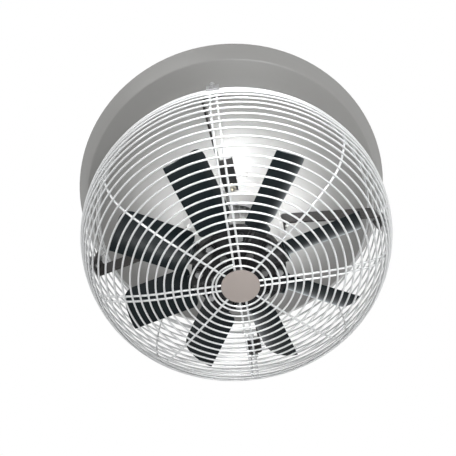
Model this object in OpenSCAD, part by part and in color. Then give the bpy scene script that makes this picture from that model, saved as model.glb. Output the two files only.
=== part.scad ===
// Axial ventilation fan that hangs from above. A wire basket guards the impeller, and a flared
// dish behind the motor turns the air outwards. Sizes are in millimetres. Each piece is drawn with
// the guard's face upwards and the plane of the dish's rim at height 0, and hang() turns the whole
// fan over, so that its origin is the centre of the hanger plate's top face.

/* [Dish] */
// Diameter over the dish's rim
dish_d = 780; // [720:10:900]
// Thickness of the dish's wall
dish_wall = 3; // [2:0.5:5]
// Height of the sloping lip along the rim
dish_lip = 30; // [15:1:45]
// Height of the cone's flat top above the rim
cone_h = 90; // [84:1:100]
// Radius of the hollow curve that the cone flares along
cone_flare_r = 400; // [380:5:430]
// Radius at which the flare runs out into the flat floor
dish_floor_r = 278; // [265:1:290]

/* [Impeller] */
// Diameter over the blade tips
impeller_d = 500; // [440:5:530]
// Width of a blade from edge to edge
blade_chord = 83; // [60:1:90]
// Angle of a blade's tip to the plane that it turns in
blade_pitch = 36; // [30:1:42]
// Extra angle at a blade's root
blade_twist = 5; // [0:1:8]
// Rise of a blade's curve over its chord
blade_camber = 8; // [4:0.5:12]
// Greatest thickness of a blade
blade_thick = 6; // [4:0.5:8]
// Diameter of the hub
hub_d = 190; // [180:2:200]
// Height of the blades' middle above the rim
blade_z = 287; // [284:1:292]

/* [Motor] */
// Diameter over the motor's fins
motor_d = 140; // [134:1:150]
// Length of the motor's finned housing
housing_len = 122; // [116:1:124]
// Diameter of the shaft's end that carries the impeller
shaft_d = 24; // [20:1:26]
// Gap between the rotor and the stator
air_gap = 0.5; // [0.3:0.1:1]

/* [Guard] */
// Diameter of the guard at its widest, over the middle of the wire
guard_d = 646; // [630:2:680]
// Height of the guard's face above the rim
guard_face_z = 349; // [345:1:365]
// Distance between one turn of the spiral and the next
turn_pitch = 15.5; // [14:0.5:17]
// Turns of the spiral
guard_turns = 28.5; // [27:0.5:29]
// Diameter of the spiral's wire
wire_d = 3.5; // [2.5:0.5:4.5]
// Diameter of the spokes' wire
spoke_d = 4; // [3:0.5:5]
// Distance between the two wires of a double spoke
spoke_gap = 12; // [11:0.5:16]
// Diameter of the round plate over the guard's middle
plate_d = 72; // [70:1:80]

/* [Pedestal] */
// Diameter of the drum around the motor's foot
pedestal_d = 216; // [210:2:220]
// Height of the drum's top above the rim
pedestal_z = 146; // [146:0.5:148]
// Thickness of the drum's wall
pedestal_wall = 4; // [3:0.5:5]

/* [Arms] */
// Height of the flat bar that an arm is made of
arm_w = 46; // [40:1:48]
// Thickness of the flat bar
arm_t = 4; // [3:0.5:5]
// Height of an arm's middle line at the pedestal
arm_in_z = 118; // [116:1:122]
// Height of an arm's middle line at the guard
arm_out_z = 180; // [176:1:184]

/* [Hanger] */
// Height of the hanger plate's top above the rim
hanger_rise = 35; // [25:1:60]
// Diameter of the hanger plate
hanger_d = 190; // [180:5:240]
// Diameter of the circle that the hanging holes lie on
hanger_pcd = 150; // [130:5:160]
// Diameter of a hanging hole
hanger_hole_d = 11; // [8:0.5:14]
// Thickness of the hanger's steel
hanger_t = 5; // [4:0.5:6]

/* [Hidden] */

// Gap between pieces that fit together, to each side
fit = 0.15;
// Gap between a turning shaft and what it runs in, to each side
running_fit = 0.05;
// Depth to which crossing wires melt into each other
weld = 0.3;
// Number of sides in which round shapes are drawn
round_fn = 64;
wire_fn = 16;

dish_grey = [0.66, 0.66, 0.65];
plate_grey = [0.6, 0.57, 0.55];
wire_white = [0.93, 0.94, 0.95];
arm_black = [0.15, 0.14, 0.14];
blade_grey = [0.13, 0.15, 0.16];
cast_black = [0.1, 0.1, 0.11];
zinc = [0.75, 0.76, 0.78];
steel = [0.62, 0.63, 0.65];
copper = [0.72, 0.4, 0.2];
rubber_black = [0.06, 0.06, 0.06];
sheath_grey = [0.45, 0.45, 0.45];

// Fasteners, as nominal diameter, width over the head's corners and height of the head
m5 = [5, 9.2, 3.5];
m6 = [6, 11.5, 4];
m8 = [8, 15, 5.3];
hex_sides = 6;
function thread_d(m) = m[0];
function clear_d(m) = m[0] + 1;
function tapped_d(m) = m[0] + 2 * fit;

module hang() {
    translate([0, 0, -hanger_rise]) rotate([180, 0, 0]) children();
}

module at_four(first = 0) {
    for (k = [0 : 3]) rotate([0, 0, first + 90 * k]) children();
}

// A tube between two heights
module ring(outer_r, inner_r, low, high) {
    translate([0, 0, low]) difference() {
        cylinder(r = outer_r, h = high - low, $fn = round_fn);
        translate([0, 0, -1]) cylinder(r = inner_r, h = high - low + 2, $fn = round_fn);
    }
}

// A hexagon-head screw with its shank upwards from height 0
module hex_screw(m, len) {
    translate([0, 0, -m[2]]) cylinder(d = m[1], h = m[2], $fn = hex_sides);
    cylinder(d = thread_d(m), h = len, $fn = 24);
}

module hex_nut(m) {
    difference() {
        cylinder(d = m[1], h = m[2], $fn = hex_sides);
        translate([0, 0, -1]) cylinder(d = tapped_d(m), h = m[2] + 2, $fn = 24);
    }
}

module washer(outer_d, inner_d, thick) {
    difference() {
        cylinder(d = outer_d, h = thick, $fn = 32);
        translate([0, 0, -1]) cylinder(d = inner_d, h = thick + 2, $fn = 32);
    }
}

// The dish: a flat top that the motor stands on, a hollow flare, a flat floor and a sloping lip
lip_w = dish_lip * 0.9;
flare_steps = 20;
flare_top_z = cone_h - 8;
flare_angle = acos(1 - (flare_top_z - dish_lip) / cone_flare_r);
function flare_point(t, off) = [
    dish_floor_r - (cone_flare_r - off) * sin(t),
    dish_lip + cone_flare_r - (cone_flare_r - off) * cos(t)];
function flare_line(off) = [for (i = [flare_steps : -1 : 0]) flare_point(flare_angle * i / flare_steps, off)];
shoulder_r = flare_point(flare_angle, 0)[0];
function dish_face(off) = concat(
    [[0, cone_h + off], [shoulder_r - 12 + off * 0.4, cone_h + off],
        [shoulder_r - 4 + off * 0.6, cone_h - 3 + off * 0.8]],
    flare_line(off),
    [[dish_d / 2 - lip_w - 4 + off * 0.2, dish_lip + off],
        [dish_d / 2 - lip_w + 1 + off * 0.5, dish_lip - 2 + off]]);
function backwards(list) = [for (i = [len(list) - 1 : -1 : 0]) list[i]];

module deflector_dish() {
    rim = [[dish_d / 2, dish_wall], [dish_d / 2, 0], [dish_d / 2 - dish_wall * 1.4, 0]];
    color(dish_grey) hang() difference() {
        rotate_extrude($fn = 128)
            polygon(concat(dish_face(0), rim, backwards(dish_face(-dish_wall))));
        at_four(45) translate([foot_bolt_r, 0, cone_h - 2 * dish_wall])
            cylinder(d = clear_d(m8), h = 3 * dish_wall, $fn = 32);
        at_pedestal_screws() translate([0, 0, -2 * dish_wall])
            cylinder(d = clear_d(m5), h = 3 * dish_wall, $fn = 24);
    }
}

// The hanger: a round plate on four legs, whose feet clamp the dish to the motor's rear shield
foot_bolt_r = 50;
leg_w = 30;
leg_r = foot_bolt_r + leg_w / 2;
dish_back_z = cone_h - dish_wall;
washer_t = 1.6;

module hanger_bracket() {
    color(zinc) hang() difference() {
        union() {
            translate([0, 0, -hanger_rise]) cylinder(d = hanger_d, h = hanger_t, $fn = round_fn);
            at_four(45) {
                translate([leg_r - hanger_t, -leg_w / 2, hanger_t / 2 - hanger_rise])
                    cube([hanger_t, leg_w, dish_back_z + hanger_rise - hanger_t / 2]);
                translate([foot_bolt_r, 0, dish_back_z - hanger_t]) {
                    cylinder(d = leg_w, h = hanger_t, $fn = 32);
                    translate([0, -leg_w / 2, 0]) cube([leg_w / 2, leg_w, hanger_t]);
                }
            }
        }
        at_four() translate([hanger_pcd / 2, 0, -hanger_rise - 1])
            cylinder(d = hanger_hole_d, h = hanger_t + 2, $fn = 32);
        at_four(45) translate([foot_bolt_r, 0, dish_back_z - hanger_t - 1])
            cylinder(d = clear_d(m8), h = hanger_t + 2, $fn = 32);
    }
}

module hanger_washers() {
    color(zinc) hang() at_four(45)
        translate([foot_bolt_r, 0, dish_back_z - hanger_t - washer_t]) washer(17, clear_d(m8), washer_t);
}

module hanger_bolts() {
    color(zinc) hang() at_four(45)
        translate([foot_bolt_r, 0, dish_back_z - hanger_t - washer_t])
            hex_screw(m8, washer_t + hanger_t + dish_wall + flange_t);
}

// The motor, from its rear shield on the dish to the nose that the shaft leaves by
flange_t = 12;
spigot_h = 5;
housing_low = cone_h + flange_t;
housing_high = housing_low + housing_len;
housing_r = motor_d / 2 - 8;
bore_r = housing_r - 6;
fin_t = 2.2;
fins = 36;
lug_r = housing_r + 1;
lug_d = 13;
front_flange_t = 8;
nose_h = 14;
nose_r = 32;
// Bearings, as bore radius, outer radius and width
rear_bearing_size = [10, 23.5, 14];
front_bearing_size = [shaft_d / 2 + 0.5, shaft_d / 2 + 14, 15];
rear_bearing_z = cone_h + 5;
front_bearing_z = housing_high + front_flange_t + nose_h - 8 - front_bearing_size[2];

module motor_housing() {
    color(cast_black) hang() difference() {
        union() {
            ring(housing_r, bore_r, housing_low, housing_high);
            for (k = [0 : fins - 1]) rotate([0, 0, 360 / fins * (k + 0.5)])
                translate([housing_r - 1, -fin_t / 2, housing_low + 4])
                    cube([motor_d / 2 - housing_r + 1, fin_t, housing_len - 8]);
            at_four(45) translate([lug_r, 0, housing_low]) cylinder(d = lug_d, h = housing_len, $fn = 32);
            at_lead() translate([0, 0, lead_len - lead_boss_len])
                cylinder(d = lead_d + 8, h = lead_boss_len, $fn = round_fn);
        }
        translate([0, 0, housing_low - 1]) cylinder(r = bore_r, h = housing_len + 2, $fn = round_fn);
        at_four(45) translate([lug_r, 0, housing_high - 16]) cylinder(d = tapped_d(m6), h = 20, $fn = 24);
        lead_hole();
    }
}

module rear_shield() {
    color(cast_black) hang() difference() {
        union() {
            translate([0, 0, cone_h]) cylinder(r = motor_d / 2, h = flange_t, $fn = round_fn);
            translate([0, 0, cone_h]) cylinder(r = bore_r - fit, h = flange_t + spigot_h, $fn = round_fn);
            translate([0, 0, cone_h])
                cylinder(r = rear_bearing_size[1] + 6, h = rear_bearing_z - cone_h + rear_bearing_size[2],
                    $fn = round_fn);
        }
        translate([0, 0, rear_bearing_z])
            cylinder(r = rear_bearing_size[1] + running_fit, h = housing_len, $fn = round_fn);
        at_four(45) translate([foot_bolt_r, 0, cone_h - 1])
            cylinder(d = tapped_d(m8), h = flange_t + spigot_h + 2, $fn = 24);
    }
}

module front_shield() {
    nose_top = housing_high + front_flange_t + nose_h;
    color(cast_black) hang() difference() {
        union() {
            ring(bore_r - fit, nose_r - 3, housing_high - spigot_h, housing_high + 1);
            ring(motor_d / 2, nose_r - 3, housing_high, housing_high + front_flange_t);
            ring(nose_r, shaft_d / 2 + 2, front_bearing_z - 4, nose_top);
        }
        translate([0, 0, front_bearing_z - 5])
            cylinder(r = front_bearing_size[1] + running_fit, h = front_bearing_size[2] + 5, $fn = round_fn);
        at_four(45) translate([lug_r, 0, housing_high - 1])
            cylinder(d = clear_d(m6), h = front_flange_t + 2, $fn = 24);
    }
}

module shield_screws() {
    color(zinc) hang() at_four(45)
        translate([lug_r, 0, housing_high + front_flange_t]) rotate([180, 0, 0])
            hex_screw(m6, front_flange_t + 12);
}

// Stator and rotor
core_low = housing_low + 24;
core_high = housing_high - 24;
rotor_r = 33.5;
slots = 24;
slot_w = 4.5;
slot_depth = 13;

module stator_core() {
    stator_r = rotor_r + air_gap;
    color(steel) hang() difference() {
        ring(bore_r - fit, stator_r, core_low, core_high);
        for (k = [0 : slots - 1]) rotate([0, 0, 360 / slots * k])
            translate([stator_r - 2, -slot_w / 2, core_low - 1])
                cube([slot_depth + 2, slot_w, core_high - core_low + 2]);
    }
}

module stator_windings() {
    coil_r = rotor_r + air_gap + slot_depth / 2 + 2;
    coil_w = slot_depth - 1;
    coil_h = 11;
    color(copper) hang() for (low = [core_low - coil_h, core_high])
        ring(coil_r + coil_w / 2, coil_r - coil_w / 2, low, low + coil_h);
}

module rotor_core() {
    bars = 28;
    color(steel) hang() difference() {
        ring(rotor_r, rotor_bore_r + fit, core_low, core_high);
        for (k = [0 : bars - 1]) rotate([0, 0, 360 / bars * k])
            translate([rotor_r - 4.5, 0, core_low - 1])
                cylinder(d = 3.6, h = core_high - core_low + 2, $fn = 16);
    }
}

// A deep-groove ball bearing between two heights
module bearing(size, low) {
    balls = 9;
    mid_r = (size[0] + size[1]) / 2;
    ball_d = (size[1] - size[0]) * 0.56;
    land = ball_d * 0.36;
    difference() {
        union() {
            ring(size[1], mid_r + land, low, low + size[2]);
            ring(mid_r - land, size[0] + running_fit, low, low + size[2]);
        }
        translate([0, 0, low + size[2] / 2]) rotate_extrude($fn = round_fn)
            translate([mid_r, 0]) circle(d = ball_d + 2 * running_fit, $fn = 32);
    }
    for (k = [0 : balls - 1]) rotate([0, 0, 360 / balls * k])
        translate([mid_r, 0, low + size[2] / 2]) sphere(d = ball_d, $fn = 24);
}

module rear_bearing() {
    color(steel) hang() bearing(rear_bearing_size, rear_bearing_z);
}

module front_bearing() {
    color(steel) hang() bearing(front_bearing_size, front_bearing_z);
}

// The shaft, in steps from the rear bearing to the end that carries the hub
rotor_bore_r = 17;
shoulder_gap = 0.3;
seal_h = 6;
hub_half = 20;
split_gap = 0.3;
bush_flange_t = 6;
bush_back = 4;
bush_low = blade_z - hub_half - bush_back;
bush_high = blade_z + hub_half + bush_flange_t;
shaft_end_z = bush_high - 4;
key_w = 8;
key_h = 7;
key_len = 36;
key_in = 4;
key_low = bush_low + 3;

module shaft() {
    rear_step = rear_bearing_z + rear_bearing_size[2] + shoulder_gap;
    front_step = front_bearing_z - shoulder_gap;
    journal_end = front_bearing_z + front_bearing_size[2] + 1;
    color(steel) hang() difference() {
        union() {
            translate([0, 0, rear_bearing_z + 1])
                cylinder(r = rear_bearing_size[0], h = rear_step - rear_bearing_z, $fn = round_fn);
            translate([0, 0, rear_step])
                cylinder(r = rotor_bore_r, h = front_step - rear_step, $fn = round_fn);
            translate([0, 0, front_step - 1])
                cylinder(r = front_bearing_size[0], h = journal_end - front_step + 1, $fn = round_fn);
            translate([0, 0, journal_end - 1])
                cylinder(d = shaft_d, h = shaft_end_z - journal_end + 1, $fn = round_fn);
        }
        translate([shaft_d / 2 - key_in, -key_w / 2, key_low - fit])
            cube([key_in + 1, key_w, key_len + 2 * fit]);
        translate([0, 0, shaft_end_z - 26]) cylinder(d = tapped_d(m8), h = 30, $fn = 24);
    }
}

module shaft_key() {
    color(steel) hang() translate([shaft_d / 2 - key_in, -key_w / 2 + fit, key_low])
        cube([key_h, key_w - 2 * fit, key_len]);
}

module shaft_seal() {
    low = housing_high + front_flange_t + nose_h + shoulder_gap;
    lip_r = shaft_d / 2 + 9;
    color(rubber_black) hang() rotate_extrude($fn = round_fn) polygon([
        [shaft_d / 2 + running_fit, low + 2], [shaft_d / 2 + 4, low + 2], [lip_r, low],
        [lip_r + 1, low + 1], [shaft_d / 2 + 6, low + seal_h], [shaft_d / 2 + running_fit, low + seal_h]]);
}

// The hub: two cast halves that clamp the round shanks of the blades
blade_count = 8;
blade_first = 15;
blade_step = 360 / blade_count;
shank_r = 13;
collar_r = 17;
collar_in_r = 60;
collar_t = 8;
socket_wall = 4;
shank_in_r = 57;
hub_r = hub_d / 2;
hub_bolt_r = 78;
bush_bolt_r = 48;
bush_bolts_n = 6;
bush_tube_r = 30;
bush_flange_r = 60;
web_t = 12;
bolt_boss_h = 17;

// One half, drawn above height 0, which is the blades' middle plane
module hub_half() {
    difference() {
        union() {
            translate([0, 0, -1]) cylinder(r = hub_r - 3, h = web_t + 1, $fn = round_fn);
            translate([0, 0, -1]) cylinder(r = bush_flange_r + 3, h = hub_half + 1, $fn = round_fn);
            for (k = [0 : blade_count - 1]) rotate([0, 0, blade_first + blade_step * k]) rotate([0, 90, 0])
                translate([0, 0, bush_flange_r + 1])
                    cylinder(r = collar_r + socket_wall, h = hub_r - bush_flange_r - 1, $fn = round_fn);
            for (k = [0 : blade_count - 1]) rotate([0, 0, blade_first + blade_step * (k + 0.5)])
                translate([hub_bolt_r, 0, -1]) cylinder(d = 19, h = bolt_boss_h + 1, $fn = 32);
        }
        translate([0, 0, split_gap - 2 * hub_half]) cylinder(r = hub_d, h = 2 * hub_half, $fn = round_fn);
        translate([0, 0, -1]) cylinder(r = bush_tube_r + fit, h = hub_half + 2, $fn = round_fn);
        for (k = [0 : blade_count - 1]) rotate([0, 0, blade_first + blade_step * k]) rotate([0, 90, 0]) {
            translate([0, 0, shank_in_r - fit]) cylinder(r = shank_r + fit, h = hub_r, $fn = round_fn);
            translate([0, 0, collar_in_r - fit])
                cylinder(r = collar_r + fit, h = collar_t + 2 * fit, $fn = round_fn);
        }
        for (k = [0 : blade_count - 1]) rotate([0, 0, blade_first + blade_step * (k + 0.5)])
            translate([hub_bolt_r, 0, -1]) cylinder(d = clear_d(m8), h = hub_half + 2, $fn = 32);
        for (k = [0 : bush_bolts_n - 1]) rotate([0, 0, 360 / bush_bolts_n * k])
            translate([bush_bolt_r, 0, -1]) cylinder(d = clear_d(m8), h = hub_half + 2, $fn = 32);
    }
}

module hub_front() {
    color(cast_black) hang() translate([0, 0, blade_z]) hub_half();
}

module hub_rear() {
    color(cast_black) hang() translate([0, 0, blade_z]) mirror([0, 0, 1]) hub_half();
}

module hub_bush() {
    color(steel) hang() difference() {
        union() {
            ring(bush_tube_r, shaft_d / 2 + fit, bush_low, bush_high);
            ring(bush_flange_r, bush_tube_r - 1, bush_high - bush_flange_t, bush_high);
        }
        translate([0, -key_w / 2, bush_low - 1])
            cube([shaft_d / 2 + key_h - key_in + fit, key_w, bush_high - bush_low + 2]);
        for (k = [0 : bush_bolts_n - 1]) rotate([0, 0, 360 / bush_bolts_n * k])
            translate([bush_bolt_r, 0, bush_high - bush_flange_t - 1])
                cylinder(d = clear_d(m8), h = bush_flange_t + 2, $fn = 32);
    }
}

module hub_bolts() {
    color(zinc) hang() for (k = [0 : blade_count - 1]) rotate([0, 0, blade_first + blade_step * (k + 0.5)])
        translate([hub_bolt_r, 0, blade_z + bolt_boss_h]) rotate([180, 0, 0])
            hex_screw(m8, 2 * bolt_boss_h + m8[2] + 2);
}

module hub_nuts() {
    color(zinc) hang() for (k = [0 : blade_count - 1]) rotate([0, 0, blade_first + blade_step * (k + 0.5)])
        translate([hub_bolt_r, 0, blade_z - bolt_boss_h - m8[2]]) hex_nut(m8);
}

module bush_bolts() {
    color(zinc) hang() for (k = [0 : bush_bolts_n - 1]) rotate([0, 0, 360 / bush_bolts_n * k])
        translate([bush_bolt_r, 0, bush_high]) rotate([180, 0, 0])
            hex_screw(m8, bush_flange_t + 2 * hub_half + m8[2] + 2);
}

module bush_nuts() {
    color(zinc) hang() for (k = [0 : bush_bolts_n - 1]) rotate([0, 0, 360 / bush_bolts_n * k])
        translate([bush_bolt_r, 0, blade_z - hub_half - m8[2]]) hex_nut(m8);
}

module shaft_washer() {
    color(zinc) hang() translate([0, 0, bush_high]) washer(36, clear_d(m8), 4);
}

module shaft_bolt() {
    color(zinc) hang() translate([0, 0, bush_high + 4]) rotate([180, 0, 0]) hex_screw(m8, 28);
}

// A blade: an aerofoil that twists from root to tip, on a round shank with a collar
blade_root_r = hub_r + 5;
blade_tip_r = sqrt(pow(impeller_d / 2, 2) - pow(blade_chord * cos(blade_pitch) / 2, 2));
root_corner = 12;
tip_corner = 22;
stations = 14;
side_points = 12;
edge_t = 0.6;

// Half the thickness at a share u of the chord from the leading edge
function half_thick(u, t) = edge_t * u
    + t * (1.4845 * sqrt(u) - 0.63 * u - 1.758 * u * u + 1.4215 * pow(u, 3) - 0.5075 * pow(u, 4));
function camber_line(u) = blade_camber * (1 - pow(2 * u - 1, 2));
// Shares of the chord lie closer together towards the leading edge, and stop where the tip's corner is cut
function chord_share(i, keep) = keep * pow(i / side_points, 1.6);
function section_side(chord, t, keep, side) = [for (i = [0 : side_points]) let (u = chord_share(i, keep))
    [chord * (0.5 - u), camber_line(u) + side * half_thick(u, t)]];
function section(chord, t, keep) = concat(section_side(chord, t, keep, 1),
    [for (i = [side_points : -1 : 1]) section_side(chord, t, keep, -1)[i]]);
function turned(p, angle) = [p[0] * cos(angle) - p[1] * sin(angle), p[0] * sin(angle) + p[1] * cos(angle)];
// Shares of the span lie closer together towards both ends, and the last station is a little narrower
function station_share(j) = (1 - cos(180 * j / stations)) / 2;
function corner_cut(d, corner) = d < corner ? corner - sqrt(pow(corner, 2) - pow(corner - d, 2)) : 0;
function station(j) =
    let (s = station_share(j),
        x = blade_root_r + (blade_tip_r - blade_root_r) * s,
        chord = blade_chord * (j == stations ? 0.97 : 1) - 2 * corner_cut(x - blade_root_r, root_corner),
        keep = 1 - corner_cut(blade_tip_r - x, tip_corner) / blade_chord,
        t = blade_thick * (1 - 0.35 * s),
        angle = blade_pitch + blade_twist * (1 - s))
    [for (p = section(chord, t, keep))
        let (q = turned([p[0], p[1] - blade_camber * 0.6], angle)) [x, q[0], q[1]]];
ring_n = 2 * side_points + 1;

module aerofoil() {
    points = [for (j = [0 : stations]) each station(j)];
    walls = [for (j = [0 : stations - 1]) for (i = [0 : ring_n - 1])
        let (a = j * ring_n + i, b = j * ring_n + (i + 1) % ring_n)
        each [[a, b, b + ring_n], [a, b + ring_n, a + ring_n]]];
    root_cap = [for (i = [side_points : -1 : 1]) each
        i == side_points ? [[i, i + 1, i - 1]]
            : [[i, 2 * side_points + 1 - i, i - 1], [i, 2 * side_points - i, 2 * side_points + 1 - i]]];
    last = stations * ring_n;
    tip_cap = [for (f = root_cap) [last + f[2], last + f[1], last + f[0]]];
    polyhedron(points, concat(walls, root_cap, tip_cap));
}

module blade(k) {
    color(blade_grey) hang() translate([0, 0, blade_z]) rotate([0, 0, blade_first + blade_step * (k - 1)]) {
        aerofoil();
        rotate([0, 90, 0]) {
            translate([0, 0, shank_in_r]) cylinder(r = shank_r, h = blade_root_r + 6 - shank_in_r, $fn = 48);
            translate([0, 0, collar_in_r]) cylinder(r = collar_r, h = collar_t, $fn = 48);
            translate([0, 0, hub_r + 1]) cylinder(r = shank_r + 9, h = blade_root_r - hub_r + 1, $fn = 48);
        }
    }
}

// The guard's outline: a flat face, then arcs, each with its radius and the slope that it ends at
face_arcs = [[400, 14.8], [69, 51.8], [195, 115]];
widest_slope = 90;
function arc_start(i) = i == 0 ? 0 : face_arcs[i - 1][1];
function arc_len(i, to) = face_arcs[i][0] * (to - arc_start(i)) * PI / 180;
function arc_step(i, to) = face_arcs[i][0] * [sin(to) - sin(arc_start(i)), cos(to) - cos(arc_start(i))];
function arc_begin(i) = i == 0 ? [face_flat_r, guard_face_z]
    : arc_begin(i - 1) + arc_step(i - 1, face_arcs[i - 1][1]);
face_flat_r = guard_d / 2 - arc_step(0, face_arcs[0][1])[0] - arc_step(1, face_arcs[1][1])[0]
    - arc_step(2, widest_slope)[0];
function arc_centre(i) = arc_begin(i) - face_arcs[i][0] * [sin(arc_start(i)), cos(arc_start(i))];
// Radius and height of the outline at a length along it from the axis
function outline(s) = s <= face_flat_r ? [s, guard_face_z] : along(s - face_flat_r, 0);
function along(s, i) = i == len(face_arcs) - 1 || s <= arc_len(i, face_arcs[i][1])
    ? arc_begin(i) + arc_step(i, arc_start(i) + s / face_arcs[i][0] * 180 / PI)
    : along(s - arc_len(i, face_arcs[i][1]), i + 1);

// The spiral starts beside the inner ring, and its first turns lie closer together
spiral_start = 100;
first_turn_s = 43.8;
start_squeeze = 6.3;
squeeze_turns = 1.3;
front_turns = 13;
function turn_s(n) = first_turn_s + turn_pitch * n + start_squeeze * exp(-n / squeeze_turns);
guard_end_s = turn_s(guard_turns);
// Bends of a wire meet in a joint that is thicker by this much
bead = 0.1;

// Half a turn of the spiral: a half circle that leans, so that it ends on the next half's start
module half_turn(k) {
    a = outline(turn_s(k / 2));
    b = outline(turn_s((k + 1) / 2));
    span = norm([a[0] + b[0], b[1] - a[1]]);
    rotate([0, 0, spiral_start + 180 * k]) translate([a[0], 0, a[1]]) {
        rotate([0, asin((b[1] - a[1]) / span), 0]) translate([-span / 2, 0, 0])
            rotate_extrude(angle = 180, $fn = 96) translate([span / 2, 0]) circle(d = wire_d, $fn = wire_fn);
        sphere(d = wire_d + bead, $fn = wire_fn);
    }
}

module guard_front_spiral() {
    color(wire_white) hang() for (k = [0 : 2 * front_turns - 1]) half_turn(k);
}

module guard_side_spiral() {
    color(wire_white) hang() for (k = [2 * front_turns : 2 * guard_turns - 1]) half_turn(k);
}

module wire_ring(r, z, d) {
    translate([0, 0, z]) rotate_extrude($fn = 96) translate([r, 0]) circle(d = d, $fn = wire_fn);
}

inner_ring_r = 45.4;
rear_ring_d = 5;
module guard_inner_ring() {
    color(wire_white) hang() wire_ring(inner_ring_r, guard_face_z, wire_d);
}

module guard_rear_ring() {
    p = outline(guard_end_s + (wire_d + rear_ring_d) / 2 - weld);
    color(wire_white) hang() wire_ring(p[0], p[1], rear_ring_d);
}

// A spoke follows the outline at a constant depth inside it
spoke_depth = (wire_d + spoke_d) / 2 - weld;
spoke_in_r = plate_d / 2 - 3;
module spoke() {
    end_slope = face_arcs[1][1] + (guard_end_s + rear_ring_d - face_flat_r - arc_len(0, face_arcs[0][1])
        - arc_len(1, face_arcs[1][1])) / face_arcs[2][0] * 180 / PI;
    translate([spoke_in_r, 0, guard_face_z - spoke_depth]) rotate([0, 90, 0])
        cylinder(d = spoke_d, h = face_flat_r - spoke_in_r, $fn = wire_fn);
    for (i = [0 : len(face_arcs) - 1]) {
        from = arc_start(i);
        to = i == len(face_arcs) - 1 ? end_slope : face_arcs[i][1];
        centre = arc_centre(i);
        translate([centre[0], 0, centre[1]]) rotate([90, 0, 0]) {
            rotate([0, 0, 90 - to]) rotate_extrude(angle = to - from, $fn = 96)
                translate([face_arcs[i][0] - spoke_depth, 0]) circle(d = spoke_d, $fn = wire_fn);
            rotate([0, 0, 90 - from]) translate([face_arcs[i][0] - spoke_depth, 0])
                sphere(d = spoke_d + bead, $fn = wire_fn);
        }
    }
}

module double_spokes() {
    color(wire_white) hang() at_four() for (side = [-1, 1]) translate([0, side * spoke_gap / 2, 0]) spoke();
}

module single_spokes() {
    color(wire_white) hang() at_four(45) spoke();
}

plate_t = 2;
module centre_plate() {
    low = guard_face_z - spoke_depth + spoke_d / 2;
    color(plate_grey) hang() translate([0, 0, low]) {
        cylinder(d = plate_d, h = plate_t - 0.5, $fn = round_fn);
        translate([0, 0, plate_t - 0.5]) cylinder(d1 = plate_d, d2 = plate_d - 1, h = 0.5, $fn = round_fn);
    }
}

// Clips hold the guard by its double spokes. Their bolts pass between turns of the spiral, two turns
// apart, and an arm ends at the height of the gap between them.
clip_t = 3;
clip_face_r = guard_d / 2 + wire_d / 2 + 0.05;
clip_edge = 8;
function gap_height(n) = outline(turn_s(n))[1];
function first_gap(n) = gap_height(n) < arm_out_z - turn_pitch / 2 ? n : first_gap(n + 1);
// A gap lies half a turn from the wire at each side of it
function lower_gap(k) = first_gap((90 * (k - 1) - spiral_start) / 360 + front_turns + 5.5);
function clip_bolt_z(k) = [gap_height(lower_gap(k)), gap_height(lower_gap(k) - 2)];
function arm_end_z(k) = gap_height(lower_gap(k) - 1);

module at_clips() {
    for (k = [1 : 4]) rotate([0, 0, 90 * (k - 1)]) for (z = clip_bolt_z(k)) translate([0, 0, z])
        rotate([0, 90, 0]) children();
}

module guard_clips() {
    color(zinc) hang() difference() {
        for (k = [1 : 4]) rotate([0, 0, 90 * (k - 1)]) {
            low = clip_bolt_z(k)[0] - clip_edge;
            translate([clip_face_r, -spoke_gap, low])
                cube([clip_t, 2 * spoke_gap, clip_bolt_z(k)[1] + clip_edge - low]);
        }
        at_clips() translate([0, 0, clip_face_r - 1]) cylinder(d = clear_d(m6), h = clip_t + 2, $fn = 24);
    }
}

module clip_bolts() {
    color(zinc) hang() for (k = [1 : 4]) rotate([0, 0, 90 * (k - 1)]) for (z = clip_bolt_z(k))
        translate([tab_r(k) - arm_t, 0, z]) rotate([0, 90, 0])
            hex_screw(m6, clip_face_r + clip_t - tab_r(k) + arm_t + m6[2] + 2);
}

module clip_nuts() {
    color(zinc) hang() at_clips() translate([0, 0, clip_face_r + clip_t]) hex_nut(m6);
}

// The pedestal: a drum around the motor's foot. Its flange follows the dish's flare, and its flank has
// a pad for the foot of each arm.
arm_turn = 4;
arm_foot = 18;
pedestal_r = pedestal_d / 2;
pedestal_hole_r = motor_d / 2 + 3;
pedestal_round = 8;
flange_w = 17;
flange_screw_in = 9;
pad_face_r = pedestal_r + 3;
pad_depth = 12;
pad_edge = 3;
pad_low = arm_in_z - arm_w / 2 - pad_edge;
pad_high = arm_in_z + arm_w / 2 + pad_edge;
pedestal_screws_n = 8;
round_steps = 6;
// Angle of the flare where it passes a radius, and a stretch of it at a height above the dish
function flare_turn(r, off) = asin((dish_floor_r - r) / (cone_flare_r - off));
function flare_stretch(from_r, to_r, off) = [for (i = [0 : round_steps])
    flare_point(flare_turn(from_r + (to_r - from_r) * i / round_steps, off), off)];
function quarter(r, z, size) = [for (i = [0 : round_steps])
    let (a = 90 * i / round_steps) [r + size * cos(a), z + size * sin(a)]];

module at_pedestal_screws() {
    turn = flare_turn(pedestal_r + flange_screw_in, 0);
    for (k = [0 : pedestal_screws_n - 1]) rotate([0, 0, 360 / pedestal_screws_n * (k + 0.5)])
        translate([flare_point(turn, 0)[0], 0, flare_point(turn, 0)[1]]) rotate([0, turn, 0]) children();
}

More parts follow.
